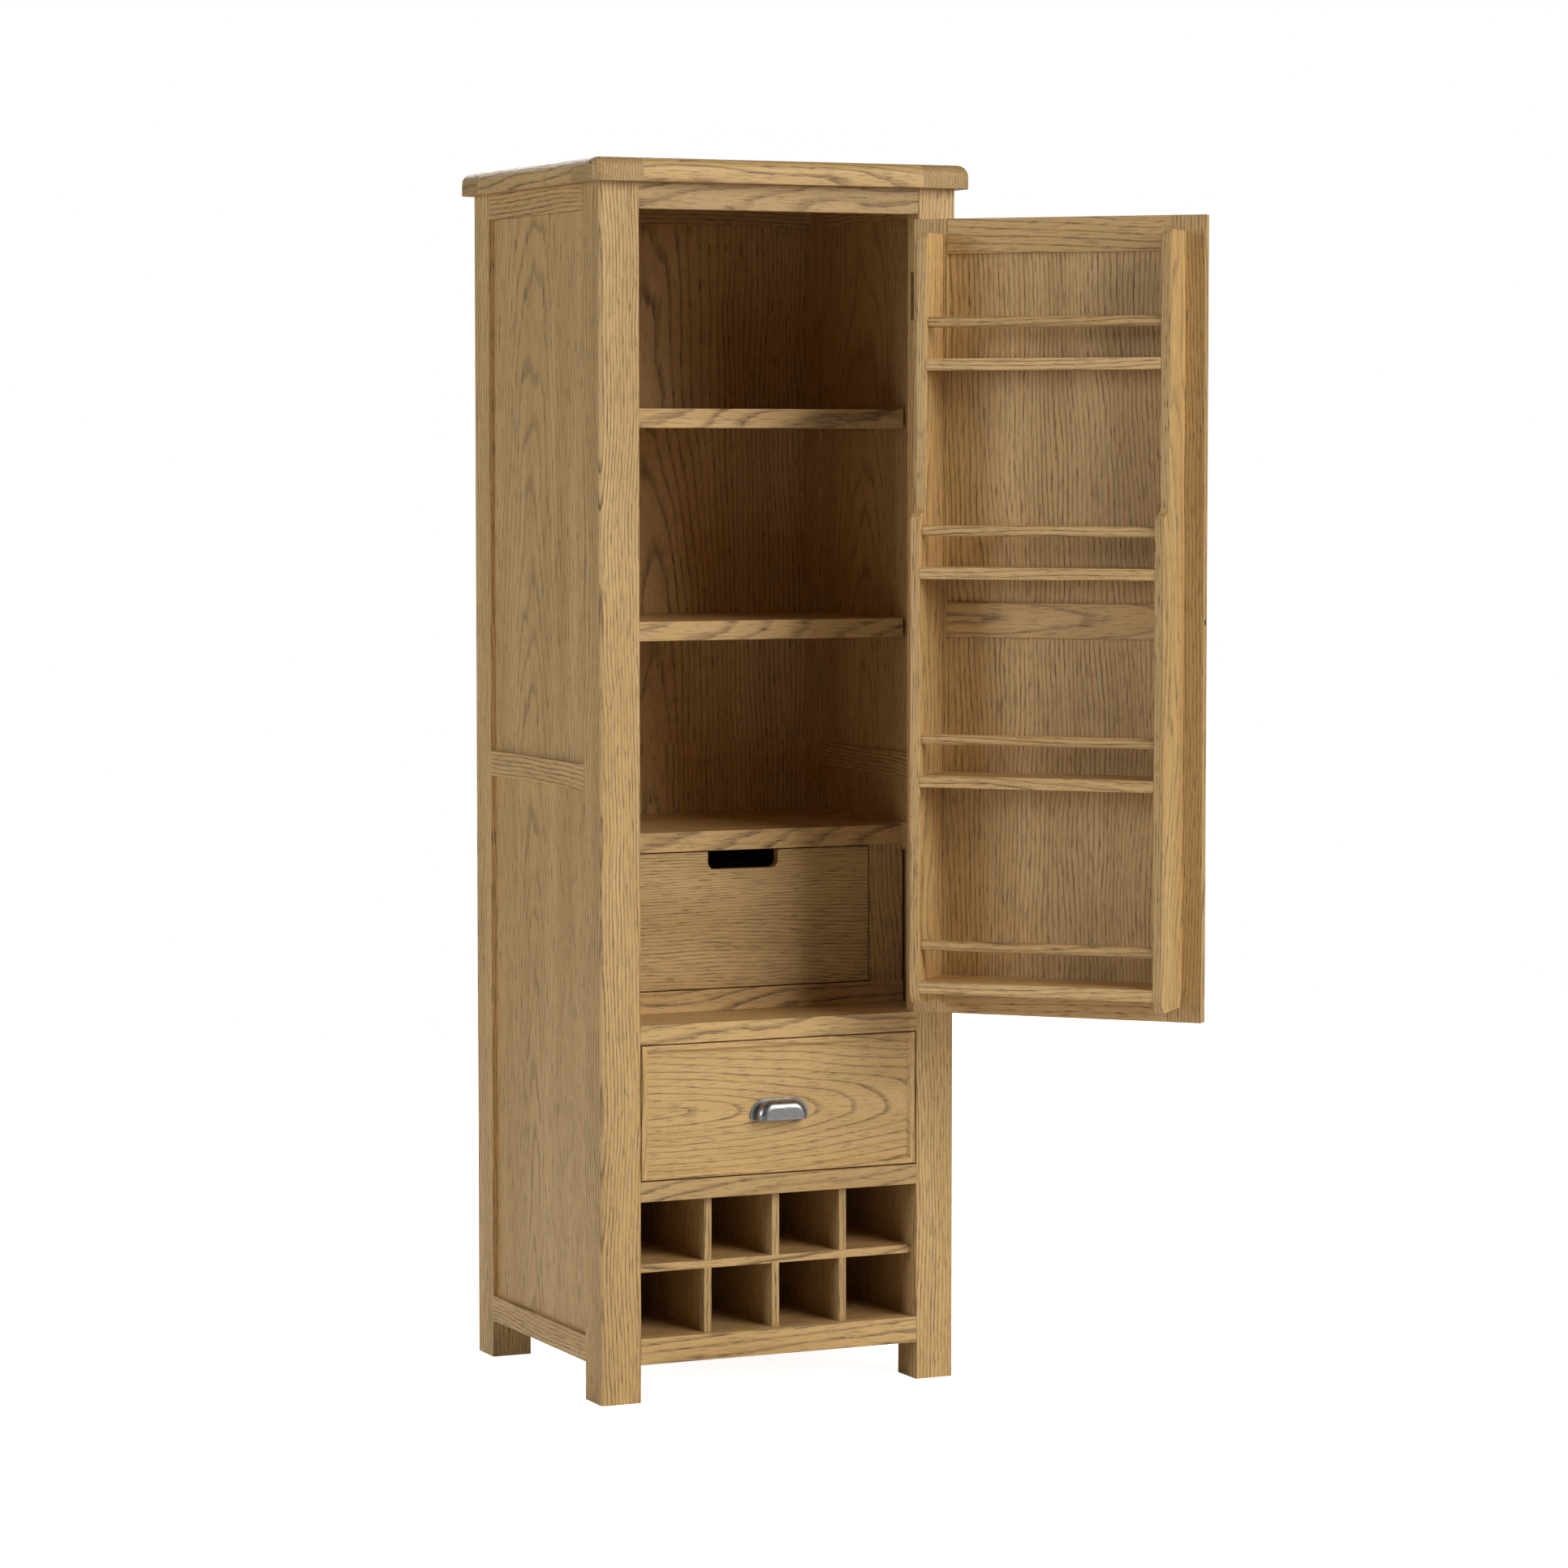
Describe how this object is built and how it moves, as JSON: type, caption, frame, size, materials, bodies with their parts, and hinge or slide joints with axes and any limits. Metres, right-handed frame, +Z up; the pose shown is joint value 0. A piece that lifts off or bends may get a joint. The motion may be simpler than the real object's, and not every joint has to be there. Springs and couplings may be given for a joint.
{
  "type": "pantry cabinet",
  "caption": "Tall oak pantry cabinet: framed door with spice racks, loose shelves, drawers inside and below, wine rack and square feet.",
  "frame": {"origin": "on the floor, under the middle of the four feet (halfway across the width over the legs and halfway through the depth over the legs)", "axes": "+Z up, the front with the door and drawers faces -Y, +X is to the right as seen from the front"},
  "size_m": [0.8862, 0.9442, 1.9],
  "materials": {
    "oak": "satin lacquered oak with open brown grain",
    "oak_inside": "satin oak, inner faces and drawer boxes",
    "antique_steel": "brushed antique steel with dark patina in the creases",
    "hinge_steel": "satin steel butt hinge",
    "screw_steel": "zinc plated steel"
  },
  "bodies": {
    "cabinet": {"back_boards": "oak_inside", "back_rails": "oak_inside", "back_screws": "screw_steel", "battens": "oak_inside", "catch_magnet_frame": "screw_steel", "cornice_corner_blocks": "oak", "cornice_edges": "oak", "cupboard_floor": "oak_inside", "drawer_deck": "oak_inside", "drawer_head_rail": "oak", "drawer_runners": "oak_inside", "fixed_shelf": "oak", "front_rail_bottom": "oak", "front_rail_top": "oak", "hinge_frame_leaves": "hinge_steel", "hinge_frame_screws": "hinge_steel", "hinge_pins": "hinge_steel", "inner_drawer_runners": "oak_inside", "inner_face_rail": "oak", "inner_face_stiles": "oak", "left_side_panels": "oak", "left_side_rails": "oak", "leg_front_left": "oak", "leg_front_right": "oak", "leg_rear_left": "oak", "leg_rear_right": "oak", "right_side_panels": "oak", "right_side_rails": "oak", "shelf_pegs": "screw_steel", "top_panel": "oak", "wine_cheeks": "oak_inside", "wine_dividers": "oak", "wine_floor": "oak_inside", "wine_rack_head_rail": "oak", "wine_shelf": "oak"},
    "door": {"door_stile_hinge": "oak", "door_stile_free": "oak", "door_rails": "oak", "door_panels": "oak", "rack_side_hinge": "oak", "rack_side_free": "oak", "rack_shelves": "oak", "rack_rails": "oak", "door_knob": "antique_steel", "hinge_door_leaves": "hinge_steel", "hinge_door_screws": "hinge_steel", "catch_magnet_door": "screw_steel"},
    "outer_drawer": {"outer_drawer_front": "oak", "outer_drawer_sides": "oak_inside", "outer_drawer_back": "oak_inside", "outer_drawer_bottom": "oak_inside", "cup_pull": "antique_steel", "cup_pull_bolts": "screw_steel"},
    "inner_drawer": {"inner_drawer_front": "oak", "inner_drawer_sides": "oak_inside", "inner_drawer_back": "oak_inside", "inner_drawer_bottom": "oak_inside"},
    "lower_shelf": {"lower_shelf": "oak"},
    "upper_shelf": {"upper_shelf": "oak"}
  },
  "joints": [
    {"name": "door_hinge", "type": "hinge", "parent": "cabinet", "child": "door", "pos_m": [0.23375, -0.2637, 1.2], "axis": [0, 0, 1], "range_deg": [-135, 45]},
    {"name": "outer_drawer_slide", "type": "slide", "parent": "cabinet", "child": "outer_drawer", "axis": [0, -1, 0], "range_m": [0, 0.36]},
    {"name": "inner_drawer_slide", "type": "slide", "parent": "cabinet", "child": "inner_drawer", "axis": [0, -1, 0], "range_m": [0, 0.19]},
    {"name": "lower_shelf_lift", "type": "slide", "parent": "cabinet", "child": "lower_shelf", "axis": [0, 0, 1], "range_m": [0, 0.05]},
    {"name": "upper_shelf_lift", "type": "slide", "parent": "cabinet", "child": "upper_shelf", "axis": [0, 0, 1], "range_m": [0, 0.05]}
  ]
}
